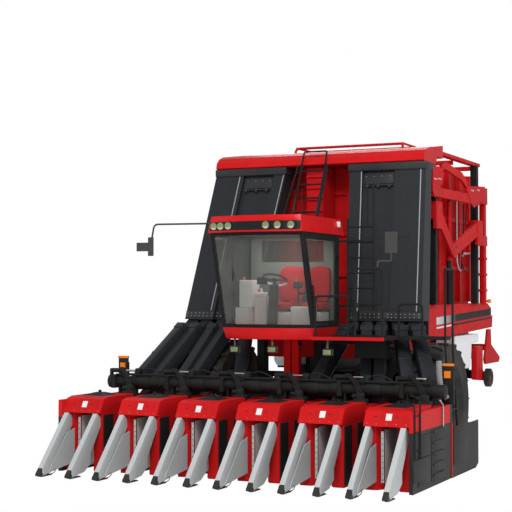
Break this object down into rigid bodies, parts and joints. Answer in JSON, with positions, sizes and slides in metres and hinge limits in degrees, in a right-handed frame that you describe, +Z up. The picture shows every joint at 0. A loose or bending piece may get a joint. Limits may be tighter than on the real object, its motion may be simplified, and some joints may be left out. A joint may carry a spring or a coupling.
{
  "type": "cotton picker",
  "caption": "Self-propelled row-crop cotton picker with a lifting header of picking units, air ducts, cab, and a rear module chamber that tilts and drops its rear door.",
  "frame": {"origin": "centre of the machine's outline on the ground", "axes": "-Y is the machine's front, +X its left, +Z up; the ground is z = 0"},
  "size_m": [5.67, 9.2, 5.322],
  "materials": {
    "red_paint": "gloss",
    "red_moulding": "gloss",
    "black_paint": "satin",
    "dark_moulding": "satin",
    "light_moulding": "matte",
    "white_moulding": "satin",
    "tyre": "matte",
    "rim_paint": "satin",
    "bare_steel": "satin",
    "rod_chrome": "polished",
    "block_iron": "matte",
    "window_glass": "clear",
    "trim": "matte",
    "lamp_lens": "gloss",
    "amber_lens": "gloss"
  },
  "bodies": {
    "chassis": {"chassis_frame": "black_paint", "drive_axle": "black_paint", "steer_axle": "black_paint", "engine": "block_iron", "body_supports": "red_paint", "cab_frame": "black_paint", "cab_glass": "window_glass", "cab_base": "red_moulding", "cab_roof": "red_moulding", "cab_interior": "trim", "cab_seats": "trim", "lamps": "lamp_lens", "platform": "black_paint", "handrails": "black_paint", "mirrors": "dark_moulding", "duct_banks": "dark_moulding", "tanks": "white_moulding"},
    "header": {"row_cabinets": "red_paint", "row_doors": "dark_moulding", "row_hoods": "red_paint", "dividers": "light_moulding", "throat_plates": "bare_steel", "header_ends": "dark_moulding", "toolbar": "black_paint", "lower_ducts": "dark_moulding", "marker_lamps": "amber_lens"},
    "chamber": {"chamber_floor": "red_paint", "chamber_walls": "red_paint", "side_panels": "red_paint", "chamber_posts": "red_paint", "chamber_braces": "red_paint", "top_hood": "red_paint", "top_frame": "red_paint", "rear_wedges": "red_paint"},
    "rear_door": {"rear_door": "red_paint"},
    "cab_door": {"cab_door": "black_paint", "door_glass": "window_glass"},
    "rotor_1": {"rotor_1": "bare_steel"},
    "rotor_2": {"rotor_2": "bare_steel"},
    "rotor_3": {"rotor_3": "bare_steel"},
    "rotor_4": {"rotor_4": "bare_steel"},
    "rotor_5": {"rotor_5": "bare_steel"},
    "rotor_6": {"rotor_6": "bare_steel"},
    "drive_wheels_left": {"drive_tyres_left": "tyre", "drive_rims_left": "rim_paint"},
    "knuckle_left": {"knuckle_left": "black_paint"},
    "steer_wheel_left": {"steer_tyre_left": "tyre", "steer_rim_left": "rim_paint"},
    "trail_wheel_left": {"trail_wheel_left": "tyre"},
    "drive_wheels_right": {"drive_tyres_right": "tyre", "drive_rims_right": "rim_paint"},
    "knuckle_right": {"knuckle_right": "black_paint"},
    "steer_wheel_right": {"steer_tyre_right": "tyre", "steer_rim_right": "rim_paint"},
    "trail_wheel_right": {"trail_wheel_right": "tyre"},
    "lift_barrels": {"lift_barrels": "black_paint"},
    "lift_rods": {"lift_rods": "rod_chrome"},
    "tilt_barrels": {"tilt_barrels": "black_paint"},
    "tilt_rods": {"tilt_rods": "rod_chrome"}
  },
  "joints": [
    {"name": "header_lift", "type": "hinge", "parent": "chassis", "child": "header", "pos_m": [0, -1.05, 1.3], "axis": [-1, 0, 0], "range_deg": [0, 8]},
    {"name": "chamber_tilt", "type": "hinge", "parent": "chassis", "child": "chamber", "pos_m": [0, 3.145, 1.6], "axis": [-1, 0, 0], "range_deg": [0, 14]},
    {"name": "rear_door_drop", "type": "hinge", "parent": "chamber", "child": "rear_door", "pos_m": [0, 4.17, 1.64], "axis": [-1, 0, 0], "range_deg": [0, 100]},
    {"name": "cab_door_swing", "type": "hinge", "parent": "chassis", "child": "cab_door", "pos_m": [0.787, -1.455, 2.9], "axis": [0, 0, 1], "range_deg": [0, 80]},
    {"name": "lift_barrels_turn", "type": "hinge", "parent": "chassis", "child": "lift_barrels", "pos_m": [0, -1.35, 0.83], "axis": [-1, 0, 0], "range_deg": [0, 9]},
    {"name": "lift_rods_slide", "type": "slide", "parent": "lift_barrels", "child": "lift_rods", "axis": [0, -0.9247, 0.3808], "range_m": [0, 0.085]},
    {"name": "tilt_barrels_turn", "type": "hinge", "parent": "chassis", "child": "tilt_barrels", "pos_m": [0, 0.6, 1.15], "axis": [1, 0, 0], "range_deg": [0, 14.5]},
    {"name": "tilt_rods_slide", "type": "slide", "parent": "tilt_barrels", "child": "tilt_rods", "axis": [0, 0.9465, 0.3227], "range_m": [0, 0.2]},
    {"name": "rotor_1_spin", "type": "hinge", "parent": "header", "child": "rotor_1", "pos_m": [-2.2065, -3.3, 0.5], "axis": [0, 0, 1], "continuous": true},
    {"name": "rotor_2_spin", "type": "hinge", "parent": "header", "child": "rotor_2", "pos_m": [-1.2415, -3.3, 0.5], "axis": [0, 0, 1], "continuous": true},
    {"name": "rotor_3_spin", "type": "hinge", "parent": "header", "child": "rotor_3", "pos_m": [-0.2765, -3.3, 0.5], "axis": [0, 0, 1], "continuous": true},
    {"name": "rotor_4_spin", "type": "hinge", "parent": "header", "child": "rotor_4", "pos_m": [0.6885, -3.3, 0.5], "axis": [0, 0, 1], "continuous": true},
    {"name": "rotor_5_spin", "type": "hinge", "parent": "header", "child": "rotor_5", "pos_m": [1.6535, -3.3, 0.5], "axis": [0, 0, 1], "continuous": true},
    {"name": "rotor_6_spin", "type": "hinge", "parent": "header", "child": "rotor_6", "pos_m": [2.6185, -3.3, 0.5], "axis": [0, 0, 1], "continuous": true},
    {"name": "drive_wheels_left_spin", "type": "hinge", "parent": "chassis", "child": "drive_wheels_left", "pos_m": [1.81, -0.88, 0.975], "axis": [1, 0, 0], "continuous": true},
    {"name": "knuckle_left_steer", "type": "hinge", "parent": "chassis", "child": "knuckle_left", "pos_m": [0.98, 2.3, 0.66], "axis": [0, 0, 1], "range_deg": [-30, 30]},
    {"name": "steer_wheel_left_spin", "type": "hinge", "parent": "knuckle_left", "child": "steer_wheel_left", "pos_m": [1.34, 2.3, 0.66], "axis": [1, 0, 0], "continuous": true},
    {"name": "trail_wheel_left_spin", "type": "hinge", "parent": "chassis", "child": "trail_wheel_left", "pos_m": [1.86, 3.43, 1.15], "axis": [1, 0, 0], "continuous": true},
    {"name": "drive_wheels_right_spin", "type": "hinge", "parent": "chassis", "child": "drive_wheels_right", "pos_m": [-1.81, -0.88, 0.975], "axis": [1, 0, 0], "continuous": true},
    {"name": "knuckle_right_steer", "type": "hinge", "parent": "chassis", "child": "knuckle_right", "pos_m": [-0.98, 2.3, 0.66], "axis": [0, 0, 1], "range_deg": [-30, 30]},
    {"name": "steer_wheel_right_spin", "type": "hinge", "parent": "knuckle_right", "child": "steer_wheel_right", "pos_m": [-1.34, 2.3, 0.66], "axis": [1, 0, 0], "continuous": true},
    {"name": "trail_wheel_right_spin", "type": "hinge", "parent": "chassis", "child": "trail_wheel_right", "pos_m": [-1.86, 3.43, 1.15], "axis": [1, 0, 0], "continuous": true}
  ],
  "couplings": [
    {"joint": "lift_barrels_turn", "follows": "header_lift", "ratio": 1.0707},
    {"joint": "lift_rods_slide", "follows": "header_lift", "m_per_rad": 0.5542},
    {"joint": "tilt_barrels_turn", "follows": "chamber_tilt", "ratio": 1.0333},
    {"joint": "tilt_rods_slide", "follows": "chamber_tilt", "m_per_rad": 0.6664},
    {"joint": "knuckle_right_steer", "follows": "knuckle_left_steer", "ratio": 1}
  ]
}
